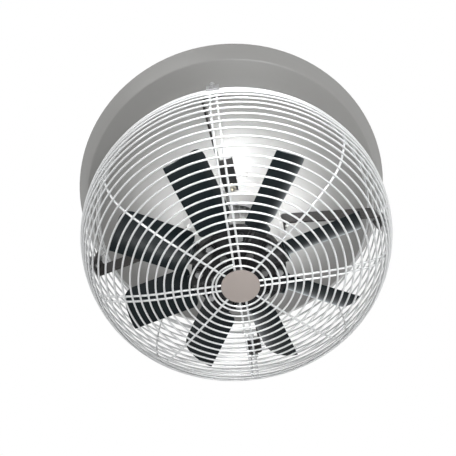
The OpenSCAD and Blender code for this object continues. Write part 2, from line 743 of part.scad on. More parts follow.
module motor_pedestal() {
    top_r = pedestal_r - pedestal_round;
    round_z = pedestal_z - pedestal_round;
    wall = pedestal_wall;
    color(dish_grey) hang() difference() {
        union() {
            rotate_extrude($fn = 128) polygon(concat(
                flare_stretch(pedestal_r - wall, pedestal_r + flange_w, fit),
                flare_stretch(pedestal_r + flange_w, pedestal_r, fit + wall),
                quarter(top_r, round_z, pedestal_round),
                [[pedestal_hole_r, pedestal_z], [pedestal_hole_r, pedestal_z - wall]],
                backwards(quarter(top_r, round_z, pedestal_round - wall))));
            at_four(arm_turn) translate([pad_face_r - pad_depth, -arm_foot - arm_t / 2 - pad_edge, pad_low])
                cube([pad_depth, arm_foot + arm_t + 2 * pad_edge, pad_high - pad_low]);
        }
        at_foot_holes() translate([0, 0, -pad_depth - 1])
            cylinder(d = tapped_d(m6), h = pad_depth + 2, $fn = 24);
        at_pedestal_screws() translate([0, 0, -1]) cylinder(d = clear_d(m5), h = 3 * wall, $fn = 24);
    }
}

module pedestal_screws() {
    color(zinc) hang() at_pedestal_screws() translate([0, 0, pedestal_wall + 2 * fit]) rotate([180, 0, 0])
        hex_screw(m5, pedestal_wall + dish_wall + 3 * fit + m5[2] + 2);
}

module pedestal_nuts() {
    color(zinc) hang() at_pedestal_screws() translate([0, 0, -dish_wall - fit - m5[2]]) hex_nut(m5);
}

// The arms: flat bars on edge, bent at the pedestal into a foot and at the guard into a tab
bend_r = 4;
bend_w = bend_r + arm_t;
bend_y = -bend_r - arm_t / 2;
bend_steps = 8;
tab_gap = 0.2;
tab_len = 30;
foot_hole_y = (bend_y - arm_foot - arm_t / 2) / 2;
foot_hole_gap = 26;
// Radius of the guard's outline at a height below its shoulder
function side_r(z) = let (centre = arc_centre(2))
    centre[0] + sqrt(pow(face_arcs[2][0], 2) - pow(z - centre[1], 2));
function tab_r(k) = side_r(arm_end_z(k) - arm_w / 2) - spoke_depth - spoke_d / 2 - tab_gap;
// The bar points at the axis, and its tab lies square to the spokes
function bar_end(k) = (tab_r(k) - bend_w + bend_y * sin(arm_turn)) / cos(arm_turn);
function bend_points(x, r, from, to) = [for (i = [0 : bend_steps])
    let (a = from + (to - from) * i / bend_steps) [x + r * cos(a), bend_y + r * sin(a)]];
// One side of the bar in plan, at a radius from the middle of its bends
function bar_side(k, r) = concat(
    [[pad_face_r + bend_w - r, -arm_foot - arm_t / 2]],
    bend_points(pad_face_r + bend_w, r, 180, 90),
    bend_points(bar_end(k), r, 90, -arm_turn),
    [[bar_end(k) + r * cos(arm_turn) - tab_len * sin(arm_turn),
        bend_y - r * sin(arm_turn) - tab_len * cos(arm_turn)]]);

// Two holes through a foot, one above the other
module at_foot_holes() {
    at_four(arm_turn) for (side = [-1, 1])
        translate([pad_face_r, foot_hole_y, arm_in_z + side * foot_hole_gap / 2])
            rotate([0, 90, 0]) children();
}

module arm(k) {
    in_low = arm_in_z - arm_w / 2;
    out_low = arm_end_z(k) - arm_w / 2;
    color(arm_black) hang() difference() {
        rotate([0, 0, 90 * (k - 1) + arm_turn]) intersection() {
            linear_extrude(guard_face_z) polygon(concat(bar_side(k, bend_w), backwards(bar_side(k, bend_r))));
            translate([0, 2 * arm_w, 0]) rotate([90, 0, 0]) linear_extrude(4 * arm_w) polygon([
                [bore_r, in_low], [pad_face_r + bend_w, in_low], [bar_end(k), out_low], [guard_d, out_low],
                [guard_d, out_low + arm_w], [bar_end(k), out_low + arm_w],
                [pad_face_r + bend_w, in_low + arm_w], [bore_r, in_low + arm_w]]);
        }
        at_foot_holes() translate([0, 0, -1]) cylinder(d = clear_d(m6), h = arm_t + 2, $fn = 24);
        rotate([0, 0, 90 * (k - 1)]) for (z = clip_bolt_z(k)) translate([tab_r(k) - arm_t - 1, 0, z])
            rotate([0, 90, 0]) cylinder(d = clear_d(m6), h = arm_t + 2, $fn = 24);
        if (k == box_arm) box_screw_holes();
    }
}

module arm_bolts() {
    color(zinc) hang() at_foot_holes() translate([0, 0, arm_t]) rotate([180, 0, 0]) hex_screw(m6, arm_t + 9);
}

// The junction box on one of the arms, with a lid on its side and a cable gland towards the guard
box_arm = 2;
box_in_r = 120;
box_len = 52;
box_w = 25;
box_h = 54;
box_low = arm_in_z + 8;
box_wall = 3;
lid_t = 3;
lid_edge = 1;
lid_screw_in = 5;
lid_screw_d = 7;
box_screw_gap = 30;
box_screw_z = 9;
gland_in = 9.5;
gland_side = 16.5;
gland_d = 12;

module on_box_arm() {
    rotate([0, 0, arm_turn + 90 * (box_arm - 1)]) translate([box_in_r, -arm_t / 2, box_low]) children();
}

module at_box_screws() {
    on_box_arm() for (side = [-1, 1]) translate([(box_len + side * box_screw_gap) / 2, 0, box_screw_z])
        rotate([90, 0, 0]) children();
}

module at_lid_screws() {
    for (x = [lid_screw_in, box_len - lid_screw_in]) for (z = [lid_screw_in, box_h - lid_screw_in])
        translate([x, -box_w - lid_t, z]) rotate([-90, 0, 0]) children();
}

module at_gland() {
    on_box_arm() translate([gland_in, -gland_side, box_h]) children();
}

module box_screw_holes() {
    at_box_screws() translate([0, 0, -arm_t - 1]) cylinder(d = clear_d(m5), h = arm_t + 2, $fn = 24);
}

module junction_box() {
    color(cast_black) hang() difference() {
        on_box_arm() translate([0, -box_w, 0]) cube([box_len, box_w, box_h]);
        on_box_arm() translate([box_wall, -box_w - 1, box_wall])
            cube([box_len - 2 * box_wall, box_w - box_wall + 1, box_h - 2 * box_wall]);
        at_gland() translate([0, 0, -box_wall - 1])
            cylinder(d = gland_d + 2 * fit, h = box_wall + 2, $fn = 32);
        at_box_screws() translate([0, 0, -1]) cylinder(d = tapped_d(m5), h = box_wall + 2, $fn = 24);
        lead_hole();
    }
}

module box_screws() {
    color(zinc) hang() at_box_screws() translate([0, 0, -arm_t]) hex_screw(m5, arm_t + box_wall + 2);
}

module junction_lid() {
    color(cast_black) hang() on_box_arm() difference() {
        translate([-lid_edge, -box_w - lid_t, -lid_edge])
            cube([box_len + 2 * lid_edge, lid_t, box_h + 2 * lid_edge]);
        at_lid_screws() translate([0, 0, -1]) cylinder(d = lid_screw_d + 1, h = 3, $fn = 24);
    }
}

module lid_screws() {
    color(zinc) hang() on_box_arm() at_lid_screws() translate([0, 0, -0.5]) difference() {
        cylinder(d = lid_screw_d, h = 2.5, $fn = 24);
        translate([-lid_screw_d, -0.6, -1]) cube([2 * lid_screw_d, 1.2, 2]);
    }
}

module cable_gland() {
    nut_h = 5;
    dome_h = 7;
    dome_d = gland_d + 3;
    color(zinc) hang() at_gland() {
        translate([0, 0, -box_wall - 2]) cylinder(d = gland_d, h = box_wall + 3, $fn = 32);
        cylinder(d = gland_d + 6, h = nut_h, $fn = hex_sides);
        translate([0, 0, nut_h]) difference() {
            union() {
                cylinder(d = dome_d, h = dome_h, $fn = 32);
                translate([0, 0, dome_h]) cylinder(d1 = dome_d, d2 = dome_d - 4, h = 3, $fn = 32);
            }
            translate([0, 0, 3]) cylinder(d = 7, h = dome_h + 1, $fn = 24);
        }
    }
}

// The motor's lead: a sheathed cable, straight from the box's end to a boss on the motor's flank
lead_d = 10;
lead_from = [box_in_r + box_wall, -8.5, box_low + 28];
lead_to = [bore_r - 4, 1, housing_high - 14];
lead_way = lead_to - lead_from;
lead_len = norm(lead_way);
lead_boss_len = 32;

module at_lead() {
    rotate([0, 0, arm_turn + 90 * (box_arm - 1)]) translate(lead_from)
        rotate([0, acos(lead_way[2] / lead_len), atan2(lead_way[1], lead_way[0])]) children();
}

module lead_hole() {
    at_lead() translate([0, 0, -lead_d])
        cylinder(d = lead_d + 2 * fit, h = lead_len + 2 * lead_d, $fn = round_fn);
}

module motor_lead() {
    color(sheath_grey) hang() at_lead() cylinder(d = lead_d, h = lead_len, $fn = round_fn);
}

deflector_dish();
hanger_bracket();
hanger_bolts();
hanger_washers();
motor_housing();
rear_shield();
front_shield();
shield_screws();
stator_core();
stator_windings();
rear_bearing();
front_bearing();
motor_pedestal();
pedestal_screws();
pedestal_nuts();
arm(1);  // arm_1
arm(2);  // arm_2
arm(3);  // arm_3
arm(4);  // arm_4
arm_bolts();
guard_clips();
clip_bolts();
clip_nuts();
junction_box();
box_screws();
junction_lid();
lid_screws();
cable_gland();
motor_lead();
guard_front_spiral();
guard_side_spiral();
guard_inner_ring();
guard_rear_ring();
double_spokes();
single_spokes();
centre_plate();
shaft();
rotor_core();
shaft_key();
shaft_seal();
hub_front();
hub_rear();
hub_bush();
hub_bolts();
hub_nuts();
bush_bolts();
bush_nuts();
shaft_washer();
shaft_bolt();
blade(1);  // blade_1
blade(2);  // blade_2
blade(3);  // blade_3
blade(4);  // blade_4
blade(5);  // blade_5
blade(6);  // blade_6
blade(7);  // blade_7
blade(8);  // blade_8
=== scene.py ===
"""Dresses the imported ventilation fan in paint, plate and moulded blades, and sets up its floor and light."""

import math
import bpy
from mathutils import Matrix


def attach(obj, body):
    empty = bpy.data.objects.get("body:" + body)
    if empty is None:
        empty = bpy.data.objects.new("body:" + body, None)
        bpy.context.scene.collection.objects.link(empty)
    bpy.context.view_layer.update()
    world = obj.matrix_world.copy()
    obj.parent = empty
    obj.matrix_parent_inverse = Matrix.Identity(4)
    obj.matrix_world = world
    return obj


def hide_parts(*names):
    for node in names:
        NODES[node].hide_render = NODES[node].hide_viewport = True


bl_info = {
    "name": "Ceiling Fan Finishes",
    "version": (1, 0, 0),
    "blender": (4, 5, 0),
    "location": "3D View > Sidebar > Fan",
    "description": "Finishes and moulded details of a ceiling-hung axial fan with a wire guard",
    "category": "Object",
}

import bmesh
import bpy
from bpy.props import FloatProperty, FloatVectorProperty, IntProperty, PointerProperty
from mathutils import Matrix, Vector

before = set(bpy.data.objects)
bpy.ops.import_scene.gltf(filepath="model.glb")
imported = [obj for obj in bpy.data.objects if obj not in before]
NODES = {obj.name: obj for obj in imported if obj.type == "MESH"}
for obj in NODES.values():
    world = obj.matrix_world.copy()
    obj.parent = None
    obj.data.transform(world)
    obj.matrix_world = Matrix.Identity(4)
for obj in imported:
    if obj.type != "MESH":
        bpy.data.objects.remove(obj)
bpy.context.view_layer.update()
BLADES = sorted(n for n in NODES if n.startswith("blade_"))
MM = 0.001


# Settings that the panel shows

def colour(text, value, about):
    """A colour, as linear values."""
    return FloatVectorProperty(
        name=text, default=value, min=0, max=1, size=3, subtype="COLOR", description=about)


def length(text, value, least, most, about):
    """A length in metres."""
    return FloatProperty(name=text, default=value, min=least, max=most, unit="LENGTH", description=about)


def amount(text, value, about):
    """A share from 0 to 1."""
    return FloatProperty(name=text, default=value, min=0, max=1, subtype="FACTOR", description=about)


def power(text, value, about):
    """A lamp's power in watts."""
    return FloatProperty(name=text, default=value, min=0, max=400, unit="POWER", description=about)


class FanColours(bpy.types.PropertyGroup):
    """Colours of the fan's finishes"""

    dish: colour("Dish", (0.24, 0.238, 0.231), "Powder coat of the dish's floor and lip")
    # A painted highlight: the dish's flare near the motor is painted this pale colour in place of the lamps'
    # reflection on the coat
    flare_highlight: colour("Flare highlight", (0.92, 0.92, 0.91), "Powder coat of the dish's flare, where it meets the pedestal")
    pedestal: colour("Pedestal", (0.85, 0.85, 0.84), "Paint of the drum around the motor's foot")
    wire: colour("Guard wire", (0.66, 0.67, 0.675), "Coating of the guard's wires")
    plate: colour("Centre plate", (0.27, 0.238, 0.22), "Paint of the plate over the guard's middle")
    blade: colour("Blades", (0.005, 0.009, 0.011), "Moulded plastic of the blades")
    casting: colour("Hub", (0.008, 0.008, 0.009), "Coating of the black castings and of the junction box")
    seal: colour("Seal", (0.012, 0.012, 0.012), "Rubber of the shaft's seal")
    motor: colour("Motor", (0.36, 0.36, 0.355), "Paint of the motor's housing and shields")
    arm: colour("Arms", (0.034, 0.031, 0.03), "Paint of the flat bars")
    sheath: colour("Lead sheath", (0.15, 0.15, 0.15), "Sheath of the motor's lead")
    zinc: colour("Zinc plate", (0.4, 0.405, 0.41), "Plated clips and hanger")
    screw: colour("Screws", (0.2, 0.2, 0.2), "Dull plate of the screws and nuts")
    nickel: colour("Nickel plate", (0.6, 0.57, 0.5), "Plate of the cable gland")
    steel: colour("Turned steel", (0.42, 0.42, 0.43), "Shaft and bearings")
    core: colour("Core sheets", (0.2, 0.2, 0.21), "Stacked sheets of the stator and the rotor")
    copper: colour("Copper", (0.55, 0.2, 0.08), "Windings of the stator")
    bare: colour("Bare metal", (0.3, 0.3, 0.3), "Metal that shows where paint is rubbed off")
    dust: colour("Dust", (0.34, 0.31, 0.27), "Dust on faces that look up")


class FanDetails(bpy.types.PropertyGroup):
    """Sizes of the details that the finishes add"""

    casting_round: length("Casting edges", 0.0012, 0, 0.004, "Rounding of cast edges")
    sheet_round: length("Sheet edges", 0.0006, 0, 0.002, "Rounding of cut steel edges")
    screw_round: length("Screw edges", 0.0005, 0, 0.001, "Rounding of screws and nuts")
    mould_round: length("Moulded edges", 0.0005, 0, 0.001, "Rounding of the blades' edges")
    root_fillet: length("Blade root", 0.005, 0.001, 0.006, "Fillet at a blade's root")
    weld_radius: length("Weld", 0.0021, 0.001, 0.003, "Radius of the weld where two wires cross")
    blade_points: IntProperty(
        name="Blade points", default=32, min=12, max=60, description="Points along each face of a section")
    dust_amount: amount("Dust", 0.25, "Dust on faces that look up")
    rub_amount: amount("Rubbed edges", 0.5, "Paint that is rubbed thin on edges")


class FanStudio(bpy.types.PropertyGroup):
    """Camera, light and floor"""

    lens: FloatProperty(
        name="Lens", default=31.22, min=10, max=200, unit="CAMERA", description="Focal length")
    key_power: power("Key lamp", 7, "Wide lamp right of the camera")
    pool_power: power("Pool lamp", 0.6, "Narrow lamp that lights the middle")
    fill_power: power("Fill lamp", 9, "Widest lamp, above the picture")
    side_power: power("Side lamp", 0.22, "Low lamp that lights the pedestal and the far wires")
    sky: FloatProperty(
        name="Room light", default=0.9, min=0, max=2, description="Level of the light from all round")
    floor_drop: length("Floor", 2.4, 0.5, 5, "Height of the hanger above the floor")


def settings():
    """The colours and the details that the panel shows."""
    scene = bpy.context.scene
    return scene.fan_colours, scene.fan_details


# The fan in millimetres and degrees, in its own frame: origin at the dish's rim, Z axis towards the guard

# Height of the hanger's top over the rim
RIM_DROP = 35

IMPELLER_R = 250
HUB_R = 95
BLADE_Z = 287
BLADE_FIRST = 15
BLADE_STEP = 45
BLADE_ROOT = HUB_R + 5
BLADE_CHORD = 83
BLADE_PITCH = 36
BLADE_TWIST = 5
BLADE_CAMBER = 8
BLADE_THICK = 6
EDGE_THICK = 0.6
BLADE_TIP = math.sqrt(IMPELLER_R ** 2 - (BLADE_CHORD * math.cos(math.radians(BLADE_PITCH)) / 2) ** 2)
ROOT_CORNER, TIP_CORNER = 12, 22
# How far the chord line lies under the blade's axis
CHORD_DROP = BLADE_CAMBER * 0.6
# How much thinner the tip is, over what share of the length its chord draws in, and by how much
TIP_THINNING, TIP_EASE, TIP_DRAW_IN = 0.35, 0.015, 0.04
# Thickness of an aerofoil: factors of the square root and of the first four powers of the chord's share
AEROFOIL = (1.4845, -0.63, -1.758, 1.4215, -0.5075)
# The disc at a blade's root, and the shank and its collar inside the hub
DISC_LOW, DISC_HIGH, DISC_R = HUB_R + 1, BLADE_ROOT + 2, 22
SHANK_LOW, SHANK_R = 57, 13
COLLAR_LOW, COLLAR_T, COLLAR_R = 60, 8, 17
# How far inside the disc's edge the root's fillet is gone, and over what length it fades
FILLET_MARGIN, FILLET_FADE = 1.5, 6
# Distances of a blade's sections beyond its root, in the disc and after the fillet
ROOT_STEPS, CORNER_STEPS = (0, 0.2, 0.6, 1.2, 1.99), (8.5, 10.2, 12)
# Steps between sections along the fillet, the straight part and the tip's corner
FOOT_COUNT, SPAN_COUNT, TIP_COUNT = 9, 20, 15
DRUM_FACETS = 64


# Meshes

def row_point(point):
    """A point of the fan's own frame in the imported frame, in metres."""
    return Vector((point.x, -point.y, -point.z - RIM_DROP)) * MM


def circle(count):
    """The cosine and sine of angles that go once round."""
    angles = [2 * math.pi * i / count for i in range(count)]
    return [(math.cos(angle), math.sin(angle)) for angle in angles]


def add_ring(shape, points):
    """Corners of a mesh at points of the fan's own frame."""
    return [shape.verts.new(row_point(point)) for point in points]


def join_rings(shape, rings):
    """Faces all round between each ring of corners and the next one."""
    for low, high in zip(rings, rings[1:]):
        for i in range(len(low)):
            shape.faces.new((low[i - 1], low[i], high[i], high[i - 1]))


def add_drum(shape, turn, low, high, radius):
    """A closed drum about a blade's own axis."""
    rims = [add_ring(shape, [turn @ Vector((x, radius * c, radius * s)) for c, s in circle(DRUM_FACETS)])
            for x in (low, high)]
    join_rings(shape, rims)
    for rim in rims:
        shape.faces.new(rim)


def new_piece(name, shape, material, rider):
    """A smooth-shaded object from a mesh in the making, which moves with the named body."""
    mesh = bpy.data.meshes.new(name)
    bmesh.ops.recalc_face_normals(shape, faces=shape.faces)
    shape.to_mesh(mesh)
    shape.free()
    mesh.shade_smooth()
    mesh.materials.append(material)
    piece = bpy.data.objects.new(name, mesh)
    bpy.context.collection.objects.link(piece)
    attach(piece, rider)
    return piece


# A blade

def half_thick(u, t):
    """Half an aerofoil's thickness at a share of its chord."""
    root, *powers = AEROFOIL
    shape = root * math.sqrt(u) + sum(factor * u ** (n + 1) for n, factor in enumerate(powers))
    return t * shape + EDGE_THICK * u


def middle_line(across):
    """Height of the blade's middle line, from -1 at one edge of the chord to 1 at the other."""
    return BLADE_CAMBER * (1 - across ** 2) - CHORD_DROP


def rounding(d, radius):
    """How far a quarter circle stands away from its tangent, d along it."""
    return radius - math.sqrt(max(0, radius ** 2 - (radius - d) ** 2)) if d < radius else 0


def soft_step(share):
    """A share held between 0 and 1, with a soft start and end."""
    share = min(1, max(0, share))
    return share * share * (3 - 2 * share)


def quarter_shares(count):
    """Shares from 0 to 1, close together at first, as seen along a quarter circle."""
    return [1 - math.cos(math.pi / 2 * i / count) for i in range(count + 1)]


def blade_section(x, side_points, fillet):
    """The closed outline of a blade at a distance from the fan's axis, spread towards its root disc."""
    share = (x - BLADE_ROOT) / (BLADE_TIP - BLADE_ROOT)
    chord = BLADE_CHORD - 2 * rounding(x - BLADE_ROOT, ROOT_CORNER)
    chord *= 1 - TIP_DRAW_IN * rounding(1 - share, TIP_EASE) / TIP_EASE
    keep = 1 - rounding(BLADE_TIP - x, TIP_CORNER) / BLADE_CHORD
    thick = BLADE_THICK * (1 - TIP_THINNING * share)
    pitch = Matrix.Rotation(math.radians(BLADE_PITCH + BLADE_TWIST * (1 - share)), 2)
    steps = [keep * (1 - math.cos(math.pi * i / side_points)) / 2 for i in range(side_points + 1)]
    outline = [Vector((chord * (0.5 - u), middle_line(2 * u - 1) + side * half_thick(u, thick)))
               for side, shares in ((1, steps), (-1, steps[:0:-1])) for u in shares]
    spread = rounding(max(0, x - DISC_HIGH), fillet)
    placed = []
    for i, point in enumerate(outline):
        along = outline[(i + 1) % len(outline)] - outline[i - 1]
        outward = Vector((along.y, -along.x)).normalized()
        near = soft_step((DISC_R - FILLET_MARGIN - point.length) / FILLET_FADE)
        placed.append(Vector((x, *(pitch @ (point + outward * spread * near)))))
    return placed


def blade_stations(fillet):
    """Distances from the fan's axis, closer together at the root and the tip."""
    low, high = BLADE_ROOT + ROOT_CORNER, BLADE_TIP - TIP_CORNER
    root = [BLADE_ROOT + d for d in ROOT_STEPS]
    foot = [DISC_HIGH + fillet * share for share in quarter_shares(FOOT_COUNT)]
    corner = [BLADE_ROOT + d for d in CORNER_STEPS]
    span = [low + (high - low) * i / SPAN_COUNT for i in range(1, SPAN_COUNT)]
    tip = [BLADE_TIP - TIP_CORNER * share for share in reversed(quarter_shares(TIP_COUNT))]
    return root + foot + corner + span + tip


def add_blade(shape, turn, side_points, fillet):
    """A blade from its root to its tip, as one closed surface."""
    rings = [add_ring(shape, [turn @ point for point in blade_section(x, side_points, fillet)])
             for x in blade_stations(fillet)]
    join_rings(shape, rings)
    for ring in (rings[0], rings[-1]):
        shape.faces.new((ring[0], ring[1], ring[-1]))
        for i in range(1, side_points):
            shape.faces.new((ring[i], ring[i + 1], ring[-i - 1], ring[-i]))


# The guard

# Its widest radius and the height of its face
GUARD_R, FACE_Z = 323, 349
# Arcs of its outline from the face outwards: the radius of each and the slopes where it starts and ends
FACE_ARCS = ((400, 0, 14.8), (69, 14.8, 51.8), (195, 51.8, 115))
# Slope of the outline at its widest place
UPRIGHT = 90
# The spiral's step, its number of turns, the angle where it starts and the points looked at on each half turn
TURN_PITCH, TURNS, SPIRAL_START, SPIRAL_SAMPLES = 15.5, 28.5, 100, 48
# Where even steps would start on the outline, how far off the first turn is, and the turns over which that fades
FIRST_TURN, START_SQUEEZE, SQUEEZE_TURNS = 43.8, 6.3, 1.3
WIRE_D, SPOKE_GAP, SPOKE_START = 3.5, 12, 38
# Angles and side offsets of the double spokes and of the single ones between them
DOUBLE_SPOKES = [(90 * k, side * SPOKE_GAP / 2) for k in range(4) for side in (-1, 1)]
SINGLE_SPOKES = [(45 + 90 * k, 0) for k in range(4)]
# Middle and half height of an ellipse that stands for the guard where only the way outwards is needed
BELLY_Z, BELLY_HEIGHT = 170, 180
# A weld's rings and corners, and its height as a share of its radius
WELD_ROWS, WELD_COLUMNS, WELD_FLATNESS = 5, 8, 0.6


def arc_step(radius, start, end):
    """The way along an arc from one slope to another, outwards and up."""
    start, end = math.radians(start), math.radians(end)
    return Vector((radius * (math.sin(end) - math.sin(start)), radius * (math.cos(end) - math.cos(start))))


# Radius of the flat face, so that the arcs reach the widest radius where they stand upright
FLAT_R = GUARD_R - sum(arc_step(radius, start, min(end, UPRIGHT)).x for radius, start, end in FACE_ARCS)


def outline_point(s):
    """Radius and height of the guard's outline at a length from the axis."""
    if s <= FLAT_R:
        return Vector((s, FACE_Z))
    point, s = Vector((FLAT_R, FACE_Z)), s - FLAT_R
    for arc in FACE_ARCS:
        radius, start, end = arc
        arc_length = radius * math.radians(end - start)
        if s <= arc_length or arc is FACE_ARCS[-1]:
            return point + arc_step(radius, start, start + math.degrees(s / radius))
        point, s = point + arc_step(*arc), s - arc_length


def spiral_point(half, share):
    """A point of one half turn of the spiral, in the fan's own frame."""
    low, high = (outline_point(FIRST_TURN + TURN_PITCH * n + START_SQUEEZE * math.exp(-n / SQUEEZE_TURNS))
                 for n in (half / 2, (half + 1) / 2))
    span = math.hypot(low.x + high.x, high.y - low.y)
    lean = math.asin((high.y - low.y) / span)
    back = span / 2 * (1 - math.cos(math.pi * share))
    aside = span / 2 * math.sin(math.pi * share)
    place = Vector((low.x - back * math.cos(lean), aside, low.y + back * math.sin(lean)))
    return Matrix.Rotation(math.radians(SPIRAL_START + 180 * half), 3, "Z") @ place


def crossings():
    """Where the spiral passes over each spoke: the place, the wire's direction and the way outwards."""
    points = [spiral_point(half, i / SPIRAL_SAMPLES)
              for half in range(round(2 * TURNS)) for i in range(SPIRAL_SAMPLES)]
    for angle, side in DOUBLE_SPOKES + SINGLE_SPOKES:
        turn = Matrix.Rotation(math.radians(angle), 3, "Z")
        local = [turn.transposed() @ point for point in points]
        for p, q in zip(local, local[1:]):
            if p.x > SPOKE_START and (p.y - side) * (q.y - side) <= 0 and p.y != q.y:
                place = p.lerp(q, (side - p.y) / (q.y - p.y))
                above = max(0, place.z - BELLY_Z)
                away = Vector((place.x / GUARD_R ** 2, 0, above / BELLY_HEIGHT ** 2)).normalized()
                yield turn @ place, turn @ (q - p).normalized(), turn @ away


def add_weld(shape, place, along, away, radius):
    """A flattened bead where the spiral's wire crosses a spoke."""
    axes = Matrix((along, away.cross(along).normalized(), away)).transposed()
    rings = []
    for i in range(1, WELD_ROWS):
        level, reach = math.cos(math.pi * i / WELD_ROWS), math.sin(math.pi * i / WELD_ROWS)
        bead = [Vector((reach * c, reach * s, WELD_FLATNESS * level)) for c, s in circle(WELD_COLUMNS)]
        rings.append(add_ring(shape, [place + axes @ (point * radius) for point in bead]))
    join_rings(shape, rings)
    shape.faces.new(rings[0])
    shape.faces.new(rings[-1])


# Shader nodes

# Sockets of a colour mix node: its share, its two colours and its result
MIX_SHARE, MIX_FROM, MIX_TO, MIX_RESULT = 0, 6, 7, 2


def feed(tree, socket, value):
    """Links a socket to the one given, or sets it to a plain value."""
    if isinstance(value, bpy.types.NodeSocket):
        tree.links.new(value, socket)
    else:
        socket.default_value = value


def add(tree, kind, values=None, **attributes):
    """A node of that kind, with its attributes set and its sockets fed."""
    node = tree.nodes.new(kind)
    for key, value in attributes.items():
        setattr(node, key, value)
    for key, value in (values or {}).items():
        feed(tree, node.inputs[key], value)
    return node


def maths(tree, operation, a, b):
    """The result of one operation on two values."""
    return add(tree, "ShaderNodeMath", {0: a, 1: b}, operation=operation).outputs[0]


def product(tree, first, *others):
    """Values multiplied with each other."""
    for other in others:
        first = maths(tree, "MULTIPLY", first, other)
    return first


def remap(tree, value, low, high, least=0.0, most=1.0):
    """A value scaled from one range to another and held inside it."""
    node = add(tree, "ShaderNodeMapRange", {
        "Value": value, "From Min": low, "From Max": high, "To Min": least, "To Max": most})
    return node.outputs["Result"]


def blend_colours(tree, share, a, b):
    """A colour that lies the given share of the way from a to b."""
    node = add(tree, "ShaderNodeMix", {MIX_SHARE: share, MIX_FROM: a, MIX_TO: b}, data_type="RGBA")
    return node.outputs[MIX_RESULT]


def own_place(tree):
    """The place in the object's own frame, in metres."""
    return add(tree, "ShaderNodeTexCoord").outputs["Object"]


def vector_length(tree, vector):
    """The length of a vector."""
    return add(tree, "ShaderNodeVectorMath", {0: vector}, operation="LENGTH").outputs["Value"]


def axis_distance(tree):
    """The distance from the object's own Z axis."""
    flat = add(tree, "ShaderNodeVectorMath", {0: own_place(tree), 1: (1, 1, 0)}, operation="MULTIPLY")
    return vector_length(tree, flat.outputs[0])


def height_part(tree, vector):
    """The Z part of a vector."""
    return add(tree, "ShaderNodeSeparateXYZ", {0: vector}).outputs["Z"]


def upward(tree):
    """How far a face looks up, from -1 for down to 1 for up."""
    return height_part(tree, add(tree, "ShaderNodeNewGeometry").outputs["Normal"])


NOISE_MEAN = 0.5


def noise(tree, scale, detail, roughness=0.5):
    """Soft noise between 0 and 1 in the object's own frame."""
    node = add(tree, "ShaderNodeTexNoise", {
        "Vector": own_place(tree), "Scale": scale, "Detail": detail, "Roughness": roughness})
    return node.outputs["Fac"]


# Shader node groups

def new_group(name, inputs, outputs):
    """A shader group with float sockets, or colour ones where the default is a colour."""
    tree = bpy.data.node_groups.new(name, "ShaderNodeTree")
    for side, sockets in (("INPUT", inputs), ("OUTPUT", outputs)):
        for label, default in sockets.items():
            kind = "NodeSocketFloat" if isinstance(default, (int, float)) else "NodeSocketColor"
            socket = tree.interface.new_socket(label, in_out=side, socket_type=kind)
            if side == "INPUT":
                socket.default_value = default
    return tree, tree.nodes.new("NodeGroupInput").outputs, tree.nodes.new("NodeGroupOutput").inputs


def grain_group(name):
    """Fine grain: a small change of colour and a height for the bump."""
    tree, given, result = new_group(
        name,
        {"Colour": (0.5, 0.5, 0.5, 1), "Scale": 900.0, "Change": 0.1},
        {"Colour": (0, 0, 0, 1), "Height": 0.0},
    )
    fine = noise(tree, given["Scale"], detail=3.0)
    broad = noise(tree, scale=9.0, detail=4.0)
    swing = maths(tree, "SUBTRACT", maths(tree, "ADD", fine, broad), 2 * NOISE_MEAN)
    level = maths(tree, "ADD", product(tree, swing, given["Change"]), 1.0)
    shade = add(tree, "ShaderNodeVectorMath", {0: given["Colour"], 1: level}, operation="MULTIPLY")
    feed(tree, result["Colour"], shade.outputs[0])
    feed(tree, result["Height"], fine)
    return tree


def dust_group(name):
    """Dust film: lies in patches on the faces that look up, and dulls them."""
    tree, given, result = new_group(
        name,
        {"Colour": (0.5, 0.5, 0.5, 1), "Dust": (0.4, 0.4, 0.4, 1), "Amount": 0.3, "Roughness": 0.4,
         "Dulling": 0.5},
        {"Colour": (0, 0, 0, 1), "Roughness": 0.0},
    )
    facing = remap(tree, upward(tree), low=0.1, high=0.9)
    patches = remap(tree, noise(tree, scale=28.0, detail=6.0, roughness=0.65), low=0.35, high=0.7)
    mask = product(tree, facing, patches, given["Amount"])
    feed(tree, result["Colour"], blend_colours(tree, mask, given["Colour"], given["Dust"]))
    rough = maths(tree, "ADD", given["Roughness"], product(tree, mask, given["Dulling"]))
    feed(tree, result["Roughness"], maths(tree, "MINIMUM", rough, 1.0))
    return tree


def rub_group(name):
    """Rubbed edges: a mask along outer edges, broken up."""
    tree, given, result = new_group(name, {"Amount": 0.5, "Breaks": 240.0}, {"Mask": 0.0})
    edge = remap(tree, add(tree, "ShaderNodeNewGeometry").outputs["Pointiness"], low=0.52, high=0.6)
    broken = remap(tree, noise(tree, given["Breaks"], detail=4.0), low=0.4, high=0.62)
    feed(tree, result["Mask"], product(tree, edge, broken, given["Amount"]))
    return tree


def sheen_group(name):
    """Handling sheen: the roughness changes softly from place to place."""
    tree, given, result = new_group(
        name, {"Roughness": 0.4, "Spread": 0.08, "Scale": 14.0}, {"Roughness": 0.0})
    swing = maths(tree, "SUBTRACT", noise(tree, given["Scale"], detail=5.0), NOISE_MEAN)
    rough = maths(tree, "ADD", given["Roughness"], product(tree, swing, given["Spread"]))
    feed(tree, result["Roughness"], rough)
    return tree


